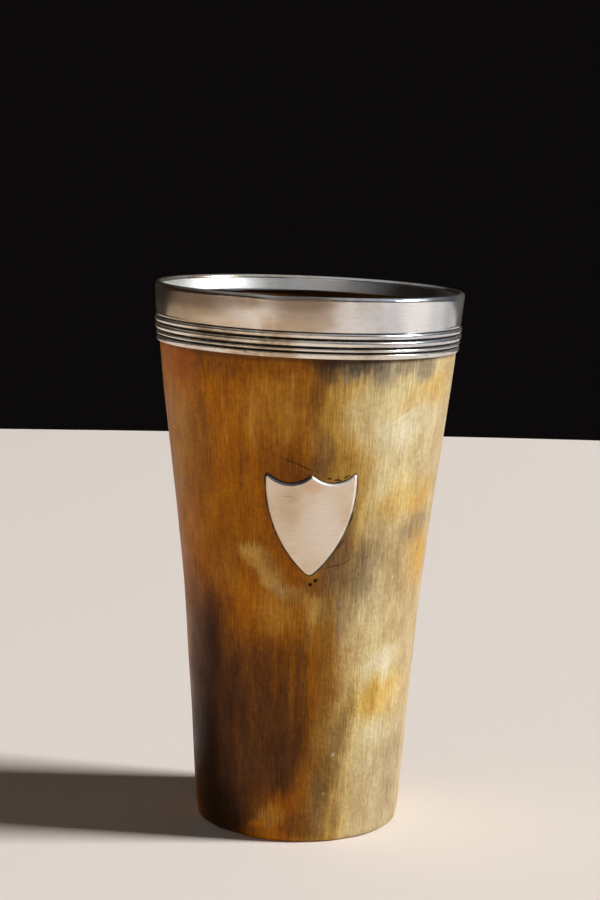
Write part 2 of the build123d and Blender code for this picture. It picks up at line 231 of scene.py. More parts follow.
# Colour, degrees round from the shield, height in mm, half width in degrees, half height in mm, lean in
# degrees, and strength.
HORN_CLOUDS = [
    ("golden", -14, 107, 13, 8, 0, 0.3),
    ("golden", -68, 97, 8, 14, 0, 0.35),
    ("olive", -53, 98, 8, 12, 0, 0.3),
    ("olive", -41, 66, 6, 8, 0, 0.3),
    ("bronze", -46, 86, 22, 12, 0, 0.5),
    ("bronze", -40, 74, 10, 6, 0, 0.5),
    ("russet", -64, 117, 11, 6, 0, 0.5),
    ("russet", -57, 115, 2, 6, 0, 0.4),
    ("umber", -38, 118, 14, 4, 0, 0.7),
    ("umber", -12, 118, 8, 3, 0, 0.35),
    ("golden", 13, 106, 6, 8, 0, 0.7),
    ("straw", 24, 106, 10, 7, 0, 0.8),
    ("cream", 38, 102, 10, 5, 40, 0.5),
    ("cream", 52, 104, 10, 5, 35, 0.25),
    ("honey", 44, 109, 14, 2, 30, 0.5),
    ("honey", 60, 112, 8, 4, 20, 0.5),
    ("umber", 2, 112, 3, 8, -3, 0.65),
    # The dark patches right under the collar, from the middle to the right, are part stain and part painted
    # shadow cast by the collar.
    ("umber", 4, 118, 6, 4, 0, 0.8),
    ("dusk", 9, 117, 6, 4, 0, 0.7),
    ("black_brown", 7, 118, 4, 3, 0, 0.5),
    ("smoke", 17, 118, 7, 3, 0, 0.95),
    ("smoke", 27, 117, 5, 4, 0, 0.9),
    ("smoke", 37, 118, 6, 2, 0, 0.75),
    ("smoke", 48, 117, 5, 4, 0, 0.85),
    ("black_brown", 13, 118.5, 12, 2.5, 0, 0.7),
    ("dusk", 3, 96, 4, 5, 0, 0.6),
    ("umber", -10, 94, 9, 4, 0, 0.45),
    ("umber", 12, 94, 8, 3, 0, 0.15),
    ("honey", 44, 85, 14, 4, 22, 0.55),
    ("golden", 36, 82, 6, 3, 20, 0.4),
    ("tan", 60, 92, 10, 8, 20, 0.7),
    ("golden", 58, 84, 10, 3, 22, 0.6),
    ("dusk", 17, 80, 3, 8, 0, 0.5),
    ("buff", 36, 74, 14, 6, 25, 0.6),
    ("buff", 38, 67, 8, 5, 20, 0.8),
    ("tan", 36, 60, 14, 6, 10, 0.8),
    ("dusk", 54, 77, 12, 3, 22, 0.55),
    ("dusk", 13, 71, 7, 8, 10, 0.85),
    ("olive", 24, 68, 5, 6, 0, 0.5),
    ("smoke", 25, 66, 5, 6, 0, 0.5),
    ("dusk", 30, 72, 6, 3, 20, 0.4),
    ("golden", 61, 68, 13, 6, 30, 0.85),
    ("bronze", -38, 62, 7, 12, 0, 0.5),
    ("honey", -25, 72, 6, 2.6, -25, 0.75),
    ("fawn", -18, 67, 6, 2.4, -40, 0.9),
    ("tan", -12, 63, 4, 2, -40, 0.5),
    ("fawn", -4, 62, 7, 1.6, -8, 0.5),
    ("fawn", 3, 60, 3, 3.5, 0, 0.9),
    ("fawn", 2, 54, 2, 4, 0, 0.4),
    ("umber", 3, 65, 6, 2, 0, 0.6),
    ("umber", -8, 61, 4, 2, 0, 0.4),
    ("golden", -14, 58, 9, 4, 0, 0.35),
    ("dusk", 9, 62, 3, 8, -4, 0.6),
    ("dusk", 17, 57, 5, 7, 0, 0.6),
    ("golden", 11, 51, 2, 7, 0, 0.5),
    ("smoke", 15, 55, 2, 8, 0, 0.5),
    ("tan", 20, 47, 6, 10, 0, 0.45),
    ("straw", 32, 54, 10, 4, 0, 0.4),
    ("cream", 43, 45, 10, 2.6, 25, 0.5),
    ("cream", 45, 40, 2, 3, 0, 0.7),
    ("golden", 48, 54, 2, 4, 0, 0.5),
    ("honey", 40, 35.5, 17, 4, 12, 0.9),
    ("golden", 34, 34.5, 9, 3, 15, 0.3),
    ("honey", 53, 34, 9, 3, 6, 0.5),
    ("golden", 54, 33, 8, 2, 6, 0.3),
    ("cream", 54, 34, 8, 3, 15, 0.3),
    ("olive", 20, 29, 4, 6, -20, 0.6),
    ("straw", 34, 20, 10, 9, 0, 0.5),
    ("cream", 42, 27, 6, 3, 30, 0.25),
    ("clay", 54, 11, 18, 14, 0, 0.75),
    ("tan", 36, 9, 10, 9, 0, 0.7),
    ("tan", 19, 11, 3, 7, 0, 0.4),
    ("buff", 50, 67, 9, 7, 20, 0.75),
    ("buff", 49, 53, 7, 4, 0, 0.7),
    ("umber", -44, 46, 8, 12, 0, 0.7),
    ("plum", -62, 40, 16, 20, 0, 0.85),
    # These dark clouds low on the left are part dark horn and part painted shade, where the foot lies in
    # shadow.
    ("black_brown", -51, 42, 6, 18, 0, 0.75),
    ("plum", -50, 26, 22, 20, 0, 0.9),
    ("black_brown", -64, 14, 20, 18, 0, 0.9),
    ("black_brown", -48, 4, 20, 10, 0, 0.95),
    ("umber", -22, 48, 16, 5, -10, 0.5),
    ("plum", -38, 43, 4, 2, 0, 0.6),
    ("plum", -22, 28, 20, 17, 0, 0.95),
    ("umber", -14, 34, 14, 14, 0, 0.4),
    ("plum", -8, 22, 6, 8, -20, 0.6),
    ("umber", -1, 43, 6, 9, 0, 0.9),
    ("umber", -2, 30, 9, 12, 0, 0.7),
    ("plum", -9, 32, 6, 14, 0, 0.35),
    ("bronze", 8, 40, 7, 16, -3, 0.9),
    ("olive", 9, 30, 4, 20, 0, 0.3),
    ("amber", 4, 17, 5, 8, -30, 0.6),
    ("amber", -10, 9, 9, 3, 30, 0.55),
    ("golden", -18, 6, 6, 2, 15, 0.35),
    ("umber", -1, 4, 9, 3, 0, 0.85),
    ("dusk", 9, 9, 4, 8, 0, 0.7),
    ("olive", 14, 20, 4, 8, -5, 0.7),
    ("olive", 18, 5, 3, 5, 0, 0.6),
    ("plum", -2, 30, 4, 16, 0, 0.25),
    ("umber", 1, 7, 6, 6, 0, 0.5),
    ("olive", 9, 18, 5, 12, 0, 0.4),
    ("dusk", 18, 30, 5, 13, 0, 0.35),
    ("bronze", -6, 41, 1.6, 9, 0, 0.55),
    ("bronze", -15, 43, 1.4, 6, 0, 0.45),
    ("amber", 3, 44, 1.4, 9, 0, 0.5),
    ("umber", -27, 34, 1.6, 8, 0, 0.45),
    ("umber", -36, 24, 1.8, 9, 0, 0.4),
    ("golden", -24, 104, 1.4, 7, 0, 0.3),
    ("golden", -36, 106, 1.2, 6, 0, 0.25),
    ("golden", -9, 108, 1.2, 6, 0, 0.35),
    ("umber", -29, 98, 1.2, 8, 0, 0.3),
    ("umber", -48, 104, 1.4, 7, 0, 0.3),
    ("straw", 110, 60, 16, 30, 0, 0.6),
    ("dusk", 132, 88, 18, 24, 0, 0.7),
    ("umber", 150, 40, 22, 20, 0, 0.8),
    ("honey", -120, 96, 24, 18, 0, 0.6),
    ("dusk", -150, 70, 16, 22, 0, 0.6),
    ("umber", -110, 52, 22, 16, 0, 0.6),
    ("plum", -125, 18, 30, 18, 0, 0.8),
]
# Stains, dirt, hairline cracks, painted highlights on scratches and a painted shadow line under the collar
# keep a sharper edge. Same order of values.
HORN_MARKS = [
    ("umber", 0, 80, 20, 14, 0, 0.4),
    ("grime", 3.0, 66.0, 0.7, 0.36, 0, 1.0),
    ("grime", 0.8, 65.0, 0.7, 0.36, 0, 1.0),
    ("grime", -5.5, 94.1, 6.4, 0.13, -25, 0.7),
    ("grime", 11.5, 69.6, 5.0, 0.12, 14, 0.6),
    ("black_brown", 18, 71.0, 3.0, 0.15, 35, 0.45),
    ("black_brown", 10.5, 59.0, 0.3, 6.0, 8, 0.35),
    ("grime", 7.2, 90.9, 1.0, 0.22, 10, 0.8),
    ("grime", 10.6, 90.5, 1.5, 0.2, -6, 0.85),
    ("grime", 14.4, 91.2, 1.3, 0.22, 24, 0.75),
    ("grime", 17.5, 81.0, 0.45, 1.5, -18, 0.75),
    ("black_brown", 13.3, 75.0, 0.5, 1.6, -30, 0.55),
    ("cream", 15.5, 22.3, 1.0, 0.3, 40, 0.5),
    ("cream", 11.0, 12.5, 0.8, 0.25, 60, 0.4),
    # These three pale scratches are brightened into painted highlights.
    ("cream", 38.0, 105.0, 4.0, 0.4, 30, 0.7),
    ("cream", 41.0, 102.0, 3.0, 0.4, 45, 0.7),
    ("cream", 36.0, 99.0, 3.0, 0.3, 45, 0.6),
    ("cream", 43.0, 65.5, 0.9, 0.4, 30, 0.4),
    ("russet", -39, 60, 1.4, 3.0, 0, 0.4),
    ("black_brown", -30, 88, 0.9, 1.0, 0, 0.2),
    ("black_brown", -35, 75, 1.2, 1.2, 0, 0.25),
    ("black_brown", -14, 66.5, 1.0, 0.3, 20, 0.25),
    ("amber", -24, 4.2, 5.0, 0.9, 10, 0.6),
    # A thin dark line round the horn just under the edge strip is painted shadow of the collar.
    ("plum", 0, 118.8, 60, 0.6, -0.85, 0.55),
    ("plum", 125, 118.4, 40, 0.6, 0.6, 0.55),
    ("plum", -125, 119.3, 40, 0.6, 0.6, 0.55),
]
EDGE_SPREAD = 1.8
EDGE_FULL = 0.75
# Size in mm of each noise in the horn, what its height is multiplied by, so that less draws it out along the
# fibre, then its detail and roughness. Real fibres are about 0.05 mm wide, and the threads are drawn four
# times as wide, so that they show.
HORN_GRAIN = {
    "drift": (9.0, 1.0, 6.0, 0.6),
    "strand": (0.7, 0.12, 4.0, 0.5),
    "thread": (0.2, 0.035, 2.0, 0.5),
    "mottle": (4.5, 0.5, 4.0, 0.55),
    "pitting": (1.1, 1.0, 4.0, 0.65),
    "pore": (0.55, 0.45, 2.0, 0.5),
}
# How far in mm, round and up, the noises carry the edges of the clouds and of the marks.
DRIFT_SWAY = Vector((5.0, 8.0, 0.0))
STRAND_SWAY = Vector((1.2, 6.0, 0.0))
MOTTLE_SWAY = Vector((1.0, 1.0, 0.0))
# How strongly each noise lightens and darkens the colour, and the tones it does it with.
GRAIN_DEPTH = {"mottle": 0.42, "strand": 0.22, "thread": 0.5, "pitting": 0.35}
GRAIN_TONES = [(0.32, colour("#84705A")), (0.68, colour("#E6E3D8"))]
# A noise keeps mostly between these values.
NOISE_LOW = 0.3
NOISE_HIGH = 0.7
PORE_LOW = 0.64
PORE_HIGH = 0.76
PORE_DIRT = 0.3
DRINK_STAIN = 0.75
HORN_SATIN = 0.32
HORN_DULL = 0.48
# The pitted skin low down on the right of the shield, in the order of a cloud's values without its colour.
ROUGH_SKIN = (24, 36, 22, 26, 0, 1.0)
FIBRE_RIDGE = 0.2


def unroll(tree):
    """Places in mm on a straight tube, where patterns run unbroken round, and on the side unrolled flat."""
    place = add(tree, "ShaderNodeTexCoord").outputs["Object"]
    in_mm = add(tree, "ShaderNodeVectorMath", {0: place, "Scale": 1 / MM}, operation="SCALE").outputs[0]
    split = add(tree, "ShaderNodeSeparateXYZ", {0: in_mm})
    level = add(tree, "ShaderNodeVectorMath", {0: in_mm, 1: (1, 1, 0)}, operation="MULTIPLY").outputs[0]
    spoke = add(tree, "ShaderNodeVectorMath", {0: level}, operation="NORMALIZE").outputs[0]
    rise = add(tree, "ShaderNodeCombineXYZ", {2: split.outputs["Z"]}).outputs[0]
    tube = add(
        tree, "ShaderNodeVectorMath", {0: spoke, 1: (MEAN_RADIUS,) * 3, 2: rise}, operation="MULTIPLY_ADD"
    ).outputs[0]
    forward = add(tree, "ShaderNodeMath", {0: split.outputs["Y"], 1: -1.0}, operation="MULTIPLY").outputs[0]
    angle = add(tree, "ShaderNodeMath", {0: split.outputs["X"], 1: forward}, operation="ARCTAN2").outputs[0]
    around = add(tree, "ShaderNodeMath", {0: angle, 1: MEAN_RADIUS}, operation="MULTIPLY").outputs[0]
    return tube, add(tree, "ShaderNodeCombineXYZ", {0: around, 1: split.outputs["Z"]}).outputs[0]


def sway(tree, place, patterns):
    """Carries places to and fro by coloured noises, each with its reach in mm, so that edges turn ragged."""
    for pattern, reach in patterns:
        shift = add(
            tree, "ShaderNodeVectorMath", {0: pattern["Color"], 1: reach, 2: -reach / 2},
            operation="MULTIPLY_ADD",
        ).outputs[0]
        place = add(tree, "ShaderNodeVectorMath", {0: place, 1: shift}, operation="ADD").outputs[0]
    return place


def oval(tree, spot, degrees, height, half_width, half_height, lean, strength):
    """How far one soft oval patch covers the surface, at its place on the unrolled side of the cup."""
    reach = (math.radians(half_width) * MEAN_RADIUS * EDGE_SPREAD, half_height * EDGE_SPREAD, 1.0)
    local = add(
        tree, "ShaderNodeMapping",
        {
            "Vector": spot,
            "Location": (math.radians(degrees) * MEAN_RADIUS, height, 0),
            "Rotation": (0, 0, math.radians(lean)),
            "Scale": reach,
        },
        vector_type="TEXTURE",
    ).outputs[0]
    ball = add(tree, "ShaderNodeTexGradient", {0: local}, gradient_type="SPHERICAL").outputs["Fac"]
    return add(
        tree, "ShaderNodeMapRange", {"Value": ball, "From Max": EDGE_FULL, "To Max": strength},
        interpolation_type="SMOOTHSTEP",
    ).outputs[0]


def horn_material(name, dark):
    """Oiled horn. The darker one is the inside of the cup, stained by drink."""
    material, tree, shader = new_material(name)
    tube, unrolled = unroll(tree)
    grain = {}
    for kind, (size, along, detail, roughness) in HORN_GRAIN.items():
        drawn_out = add(
            tree, "ShaderNodeVectorMath", {0: tube, 1: (1.0, 1.0, along)}, operation="MULTIPLY"
        ).outputs[0]
        grain[kind] = add(
            tree, "ShaderNodeTexNoise",
            {"Vector": drawn_out, "Scale": 1 / size, "Detail": detail, "Roughness": roughness},
        ).outputs
    spot = sway(tree, unrolled, [(grain["drift"], DRIFT_SWAY), (grain["strand"], STRAND_SWAY)])
    sharp_spot = sway(tree, unrolled, [(grain["mottle"], MOTTLE_SWAY)])
    spot_around = add(tree, "ShaderNodeSeparateXYZ", {0: spot}).outputs["X"]
    half_round = math.pi * MEAN_RADIUS
    turn_part = add(
        tree, "ShaderNodeMapRange", {"Value": spot_around, "From Min": -half_round, "From Max": half_round}
    ).outputs[0]
    ground = [(degrees / 360 + 0.5, HORN_COLOURS[tint]) for degrees, tint in HORN_GROUND]
    shade = add(tree, "ShaderNodeValToRGB", {0: turn_part}, ground).outputs["Color"]
    for place, patches in ((spot, HORN_CLOUDS), (sharp_spot, HORN_MARKS)):
        for tint, *patch in patches:
            cover = oval(tree, place, *patch)
            shade = add(
                tree, "ShaderNodeMix", {0: cover, 6: shade, 7: HORN_COLOURS[tint]}, data_type="RGBA"
            ).outputs[2]
    # Mottling, strands, threads and pits lighten and darken the colour by turns.
    for kind, depth in GRAIN_DEPTH.items():
        tone = add(tree, "ShaderNodeValToRGB", {0: grain[kind]["Fac"]}, GRAIN_TONES).outputs["Color"]
        shade = add(
            tree, "ShaderNodeMix", {0: depth, 6: shade, 7: tone}, data_type="RGBA", blend_type="SOFT_LIGHT"
        ).outputs[2]
    # Open pores hold a little dirt.
    pore_dirt = add(
        tree, "ShaderNodeMapRange",
        {"Value": grain["pore"]["Fac"], "From Min": PORE_LOW, "From Max": PORE_HIGH, "To Max": PORE_DIRT},
    ).outputs[0]
    stains = [(pore_dirt, "plum")]
    if dark:
        stains.append((DRINK_STAIN, "black_brown"))
    for cover, tint in stains:
        shade = add(
            tree, "ShaderNodeMix", {0: cover, 6: shade, 7: HORN_COLOURS[tint]}, data_type="RGBA"
        ).outputs[2]
    tree.links.new(shade, shader.inputs["Base Color"])
    rough = add(
        tree, "ShaderNodeMapRange",
        {
            "Value": grain["drift"]["Fac"], "From Min": NOISE_LOW, "From Max": NOISE_HIGH,
            "To Min": HORN_SATIN, "To Max": HORN_DULL,
        },
    ).outputs[0]
    tree.links.new(rough, shader.inputs["Roughness"])
    shader.inputs["IOR"].default_value = 1.54
    shader.inputs["Specular IOR Level"].default_value = 0.09
    # The skin is pitted low down on the right of the shield, and only faintly ridged by its fibre elsewhere.
    rough_skin = oval(tree, spot, *ROUGH_SKIN)
    pits = add(
        tree, "ShaderNodeMath", {0: grain["pitting"]["Fac"], 1: rough_skin}, operation="MULTIPLY"
    ).outputs[0]
    ridge = add(
        tree, "ShaderNodeMath", {0: grain["thread"]["Fac"], 1: FIBRE_RIDGE, 2: pits}, operation="MULTIPLY_ADD"
    ).outputs[0]
    relief = add(tree, "ShaderNodeBump", {"Strength": 0.6, "Distance": 0.5 * MM, "Height": ridge})
    tree.links.new(relief.outputs[0], shader.inputs["Normal"])
    return material


horn_side = turned_wall("horn_body", 1, FIT_LOW, FIT_TOP, skip=PIN_HOLES)
horn_bore = turned_wall("horn_body", -1, FOOT_INNER_ROUND, FIT_TOP, skip=BASE_GAP)

horn = bmesh.new()
side_rows = [0.0, *np.linspace(FOOT_ROW, HORN_TOP, HORN_ROWS)]
bore_rows = [0.0, *np.linspace(FOOT_ROW, HORN_TOP, BORE_ROWS)]
outline(
    horn,
    [(horn_side(height), height) for height in side_rows]
    + [(horn_bore(height), height) for height in reversed(bore_rows)],
    closed=True,
)
turn(horn, HORN_TURN_STEPS)
foot_middle = (horn_side(0) + horn_bore(0)) / 2
foot_edges = [edge for edge in horn.edges if all(vert.co.z < TINY for vert in edge.verts)]
outer_foot = [edge for edge in foot_edges if min(vert.co.to_2d().length for vert in edge.verts) > foot_middle]
inner_foot = [edge for edge in foot_edges if max(vert.co.to_2d().length for vert in edge.verts) < foot_middle]
round_edges(horn, outer_foot, FOOT_ROUND, FOOT_ROUND_STEPS)
inner_foot = [edge for edge in inner_foot if edge.is_valid]
round_edges(horn, inner_foot, FOOT_INNER_ROUND, FOOT_INNER_STEPS)
pit_faces = [
    face for face in horn.faces
    if abs(bearing(face.calc_center_median())) < PIT_FIELD_HALF
    and PIT_FIELD_LOW < face.calc_center_median().z < PIT_FIELD_HIGH
    and face.normal.y < 0
]
pit_edges = list({edge for face in pit_faces for edge in face.edges})
bmesh.ops.subdivide_edges(horn, edges=pit_edges, cuts=PIT_CUTS, use_grid_fill=True)
for vert in horn.verts:
    height = vert.co.z
    spoke = Vector((vert.co.x, vert.co.y, 0)).normalized()
    if vert.co.to_2d().length < (horn_side(height) + horn_bore(height)) / 2:
        continue
    around = math.radians(bearing(vert.co)) * horn_side(height)
    push = SCRAPE_DEPTH * noise.noise(vert.co / SCRAPE_SIZE)
    uneven = FOOT_WEAR_EVEN + noise.noise(vert.co / FOOT_WEAR_SIZE)
    push -= FOOT_WEAR * bump(height, FOOT_WEAR_HEIGHT) * uneven
    for chip_bearing, chip_height, chip_wide, chip_tall, chip_depth in FOOT_CHIPS:
        aside = (around - math.radians(chip_bearing) * horn_side(height)) / chip_wide
        push -= chip_depth * bump(math.hypot(aside, (height - chip_height) / chip_tall), 1.0)
    for pit_bearing, pit_height in SHIELD_PITS:
        aside = around - math.radians(pit_bearing) * horn_side(height)
        push -= PIT_DEPTH * bump(math.hypot(aside, height - pit_height), PIT_RADIUS)
    vert.co += spoke * push
for face in horn.faces:
    middle = face.calc_center_median()
    facing_in = face.normal.to_2d().dot(middle.to_2d()) < 0
    face.material_index = STAINED_INSIDE if facing_in and middle.z > BASE_GAP[0] else OILED_OUTSIDE
oiled_horn = horn_material("oiled_ox_horn", False)
stained_horn = horn_material("stained_horn_inside", True)
finish_piece(horn, "horn_body", "horn", oiled_horn, stained_horn)

# Base disc: a turned plate of dark horn, sprung while warm into a groove cut just above the foot, where its
# bevelled edge locks. Both faces are scored by the lathe, and the lower one stands clear of the table.
BASE_LOW = 4.0 * MM
BASE_HIGH = 7.4 * MM
BASE_TUCK = 0.25 * MM
BASE_RINGS = 14
BASE_TURN_STEPS = 96
LATHE_RISE = 0.05 * MM
# Length, width and depth of the streaks in its grain, and their colours.
BASE_GRAIN = (9.0 * MM, 1.5 * MM, 9.0 * MM)
BASE_TONES = [(0.3, colour("#1E1209")), (0.55, colour("#38220F")), (0.75, colour("#5A3A18"))]


def base_rows(level, direction):
    """Points across one face of the base, from the axis outwards, with shallow lathe rings."""
    rim = horn_bore(level) + BASE_TUCK
    return [
        (rim * step / BASE_RINGS, level + direction * LATHE_RISE * (step % 2))
        for step in range(BASE_RINGS + 1)
    ]


base = bmesh.new()
outline(base, base_rows(BASE_LOW, -1) + base_rows(BASE_HIGH, 1)[::-1])
turn(base, BASE_TURN_STEPS)
# Dark horn, turned and left unpolished: dull, with brown streaks of fibre from side to side.
base_dark, base_tree, base_shader = new_material("turned_dark_horn")
base_place = add(base_tree, "ShaderNodeTexCoord").outputs["Object"]
base_grain = add(
    base_tree, "ShaderNodeMapping", {"Vector": base_place, "Scale": [1 / size for size in BASE_GRAIN]}
).outputs[0]
base_streak = add(
    base_tree, "ShaderNodeTexNoise", {"Vector": base_grain, "Scale": 1.0, "Detail": 4.0}
).outputs["Fac"]
base_shade = add(base_tree, "ShaderNodeValToRGB", {0: base_streak}, BASE_TONES).outputs["Color"]
base_tree.links.new(base_shade, base_shader.inputs["Base Color"])
base_shader.inputs["Roughness"].default_value = 0.5
base_relief = add(base_tree, "ShaderNodeBump", {"Strength": 0.3, "Distance": 0.1 * MM, "Height": base_streak})
base_tree.links.new(base_relief.outputs[0], base_shader.inputs["Normal"])
finish_piece(base, "base_disc", "base_horn", base_dark)

# Rim collar: sheet silver wrapped round the mouth, its top edge rolled over the horn and turned down inside
# as a short lining. It sits a degree out of square, and its band is dented and rubbed from use.
# The bed lies under the wires, the band stands above them, and the lining is turned down inside.
COLLAR_TURN_STEPS = 320
COLLAR_TILT = 1.0
COLLAR_MIDDLE = 125.9 * MM
BED_LEVEL = 119.2 * MM
BED_SHEET = 0.4 * MM
BAND_LEVEL = 125.33 * MM
BAND_SHEET = 0.5 * MM
BAND_BELLY = 0.03 * MM
BAND_ROWS = 16
LIP_LEVEL = 132.6 * MM
LIP_OUT = 38.0 * MM
LIP_IN = 36.25 * MM
LIP_ROWS = 10
LINING_LEVEL = 129.4 * MM
LINING_SHEET = 0.45 * MM
LINING_ROWS = 6
FOLD_LEVEL = 132.0 * MM
# Hidden faces sink this far into what they are fixed to.
CLING = 0.2 * MM
BAND_RIPPLE = 0.07 * MM
BAND_RIPPLE_SIZE = 9.0 * MM
LIP_DENT = 0.1 * MM
LIP_DROP = 0.2 * MM
LIP_DENT_BEARING = -14.0
LIP_DENT_SPREAD = 13.0
LIP_DENT_REACH = 5.0 * MM
LINING_WAVE = 0.5 * MM
LINING_WAVE_SIZE = 6.0 * MM
COLLAR_FRAME = (
    Matrix.Translation((0, 0, COLLAR_MIDDLE))
    @ Matrix.Rotation(math.radians(COLLAR_TILT), 4, "Y")
    @ Matrix.Translation((0, 0, -COLLAR_MIDDLE))
)
# Places of the collar's materials on its mesh.
BAND_SILVER = 0
GROOVE_BLACK = 1
LINING_SILVER = 2
# Tarnish on the band, with painted reflections: its light, dark and cool patches stand in for the
# surroundings that the band mirrors, and the palest one, at 40 degrees, is a painted highlight. Colour, then
# place, size, lean and strength in the order of the horn's clouds.
BAND_TARNISH_AND_REFLECTIONS = [
    ("#D2D7DF", 50, 129, 34, 9, 0, 0.95),
    ("#B79E80", -54, 129, 20, 9, 0, 0.85),
    ("#6E5A48", -52, 132, 24, 2.2, 0, 0.75),
    ("#8A7660", -24, 132, 8, 1.6, 0, 0.5),
    ("#F4E0C6", -38, 126.6, 10, 1.3, 0, 0.6),
    ("#A8937F", -4, 130, 10, 6, 0, 0.85),
    ("#7C6856", -5, 131.8, 9, 1.8, 0, 0.6),
    ("#D2B796", -6, 126.5, 10, 1.2, 0, 0.5),
    ("#B08A70", 5, 128, 2, 2, 30, 0.3),
    ("#F6F7F8", 40, 129, 6, 9, 0, 0.9),
    ("#A4AAAE", 61, 129, 5, 6, 0, 0.75),
    ("#F0EADF", 77, 129, 10, 6, 0, 0.9),
]
# A dark patch on the far right of the lining is painted shade, where the lining lies in shadow. Same order of
# values as the band's.
LINING_PAINTED_SHADE = [("#3A332C", 126, 130, 18, 6, 0, 0.85)]
# Size in mm of the clouds of tarnish, where they change shade, and how far in mm they carry a patch's edge.
TARNISH_SIZE = 9.0
TARNISH_STOPS = (0.38, 0.47, 0.56)
TARNISH_SWAY = Vector((4.0, 3.0, 0.0))
TARNISH_DULLS = 0.08
# Rubbing marks run round the cup. Real ones are finer than a pixel, so these are drawn wide enough to show.
RUB_SIZE = 0.3
RUB_STRETCH = (0.12, 0.12, 1.0)
RUB_TONES = [(0.28, colour("#CFC4B6")), (0.52, colour("#FFFFFF"))]
RUB_DEPTH = 0.35


def silver_material(name, shades, patches=(), smooth=0.2):
    """Old sterling silver, hand burnished: a soft mirror with rubbing marks, tarnished in warm clouds, with
    the given patches laid over it; on the band and lining these hold painted reflections and painted shade.
    """
    material, tree, shader = new_material(name)
    tube, unrolled = unroll(tree)
    cloud = add(
        tree, "ShaderNodeTexNoise",
        {"Vector": tube, "Scale": 1 / TARNISH_SIZE, "Detail": 6.0, "Roughness": 0.6},
    ).outputs
    stops = [(position, colour(code)) for position, code in zip(TARNISH_STOPS, shades)]
    shade = add(tree, "ShaderNodeValToRGB", {0: cloud["Fac"]}, stops).outputs["Color"]
    spot = sway(tree, unrolled, [(cloud, TARNISH_SWAY)])
    for tint, *patch in patches:
        cover = oval(tree, spot, *patch)
        shade = add(
            tree, "ShaderNodeMix", {0: cover, 6: shade, 7: colour(tint)}, data_type="RGBA"
        ).outputs[2]
    drawn_out = add(tree, "ShaderNodeVectorMath", {0: tube, 1: RUB_STRETCH}, operation="MULTIPLY").outputs[0]
    rub = add(
        tree, "ShaderNodeTexNoise",
        {"Vector": drawn_out, "Scale": 1 / RUB_SIZE, "Detail": 4.0, "Roughness": 0.65},
    ).outputs["Fac"]
    tone = add(tree, "ShaderNodeValToRGB", {0: rub}, RUB_TONES).outputs["Color"]
    shade = add(
        tree, "ShaderNodeMix", {0: RUB_DEPTH, 6: shade, 7: tone}, data_type="RGBA", blend_type="MULTIPLY"
    ).outputs[2]
    tree.links.new(shade, shader.inputs["Base Color"])
    shader.inputs["Metallic"].default_value = 0.9
    rough = add(
        tree, "ShaderNodeMapRange",
        {
            "Value": cloud["Fac"], "From Min": NOISE_LOW, "From Max": NOISE_HIGH,
            "To Min": smooth + TARNISH_DULLS, "To Max": smooth,
        },
    ).outputs[0]
    tree.links.new(rough, shader.inputs["Roughness"])
    relief = add(tree, "ShaderNodeBump", {"Strength": 0.12, "Distance": 0.03 * MM, "Height": rub})
    tree.links.new(relief.outputs[0], shader.inputs["Normal"])
    return material


def even_steps(start, end, rows, belly=0.0):
    """Points from start to end, with an even bulge of the given height to the outside."""
    points = []
    for step in range(rows + 1):
        part = step / rows
        swell = belly * (1 - (2 * part - 1) ** 2)
        along = start[0] + (end[0] - start[0]) * part
        points.append((along + swell, start[1] + (end[1] - start[1]) * part))
    return points


def bed_radius(height):
    """Outer radius of the collar's lower sheet, a plain cone that the wires are soldered to."""
    foot = horn_side(BED_LEVEL) + BED_SHEET
    crown = horn_side(BAND_LEVEL) + BED_SHEET
    return foot + (crown - foot) * (height - BED_LEVEL) / (BAND_LEVEL - BED_LEVEL)


# The band is burnished to a mirror, and the lining is wiped dull by washing, with painted shade on its far
# right.
burnished_silver = silver_material(
    "burnished_old_silver", ("#C4AE94", "#EBDBC7", "#F8F0E6"), BAND_TARNISH_AND_REFLECTIONS, smooth=0.11
)
lining_silver = silver_material(
    "wiped_silver_lining", ("#DEDAD4", "#ECEBE9", "#F0F1F2"), LINING_PAINTED_SHADE, smooth=0.36
)

# Silver sulphide and old polish packed in the grooves: nearly black, dull, with specks of green copper salts.
GROOVE_SPECK = 1.6 * MM
GROOVE_TONES = [(0.35, colour("#0B0806")), (0.60, colour("#1C150F")), (0.70, colour("#2C4A3E"))]
groove_black, groove_tree, groove_shader = new_material("oxidised_silver_in_grooves")
groove_place = add(groove_tree, "ShaderNodeTexCoord").outputs["Object"]
groove_speck = add(
    groove_tree, "ShaderNodeTexNoise", {"Vector": groove_place, "Scale": 1 / GROOVE_SPECK, "Detail": 2.0}
).outputs["Fac"]
groove_shade = add(groove_tree, "ShaderNodeValToRGB", {0: groove_speck}, GROOVE_TONES).outputs["Color"]
groove_tree.links.new(groove_shade, groove_shader.inputs["Base Color"])
groove_shader.inputs["Roughness"].default_value = 0.75
groove_shader.inputs["Specular IOR Level"].default_value = 0.2

collar = bmesh.new()
lip_middle = (LIP_OUT + LIP_IN) / 2
lip_round = (LIP_OUT - LIP_IN) / 2
lip = []
for step in range(1, LIP_ROWS):
    swing = math.pi * step / LIP_ROWS
    lip.append((lip_middle + lip_round * math.cos(swing), LIP_LEVEL + lip_round * math.sin(swing)))
bed = [(horn_side(BED_LEVEL) - CLING, BED_LEVEL)]
bed += [(bed_radius(level), level) for level in (BED_LEVEL, BAND_LEVEL)]
band = even_steps(
    (horn_side(BAND_LEVEL) + BAND_SHEET, BAND_LEVEL), (LIP_OUT, LIP_LEVEL), BAND_ROWS, BAND_BELLY
)
lining = even_steps(
    (LIP_IN, LIP_LEVEL), (horn_bore(LINING_LEVEL) - LINING_SHEET, LINING_LEVEL), LINING_ROWS
)
fold = [(horn_bore(level) + CLING, level) for level in (LINING_LEVEL, FOLD_LEVEL)]
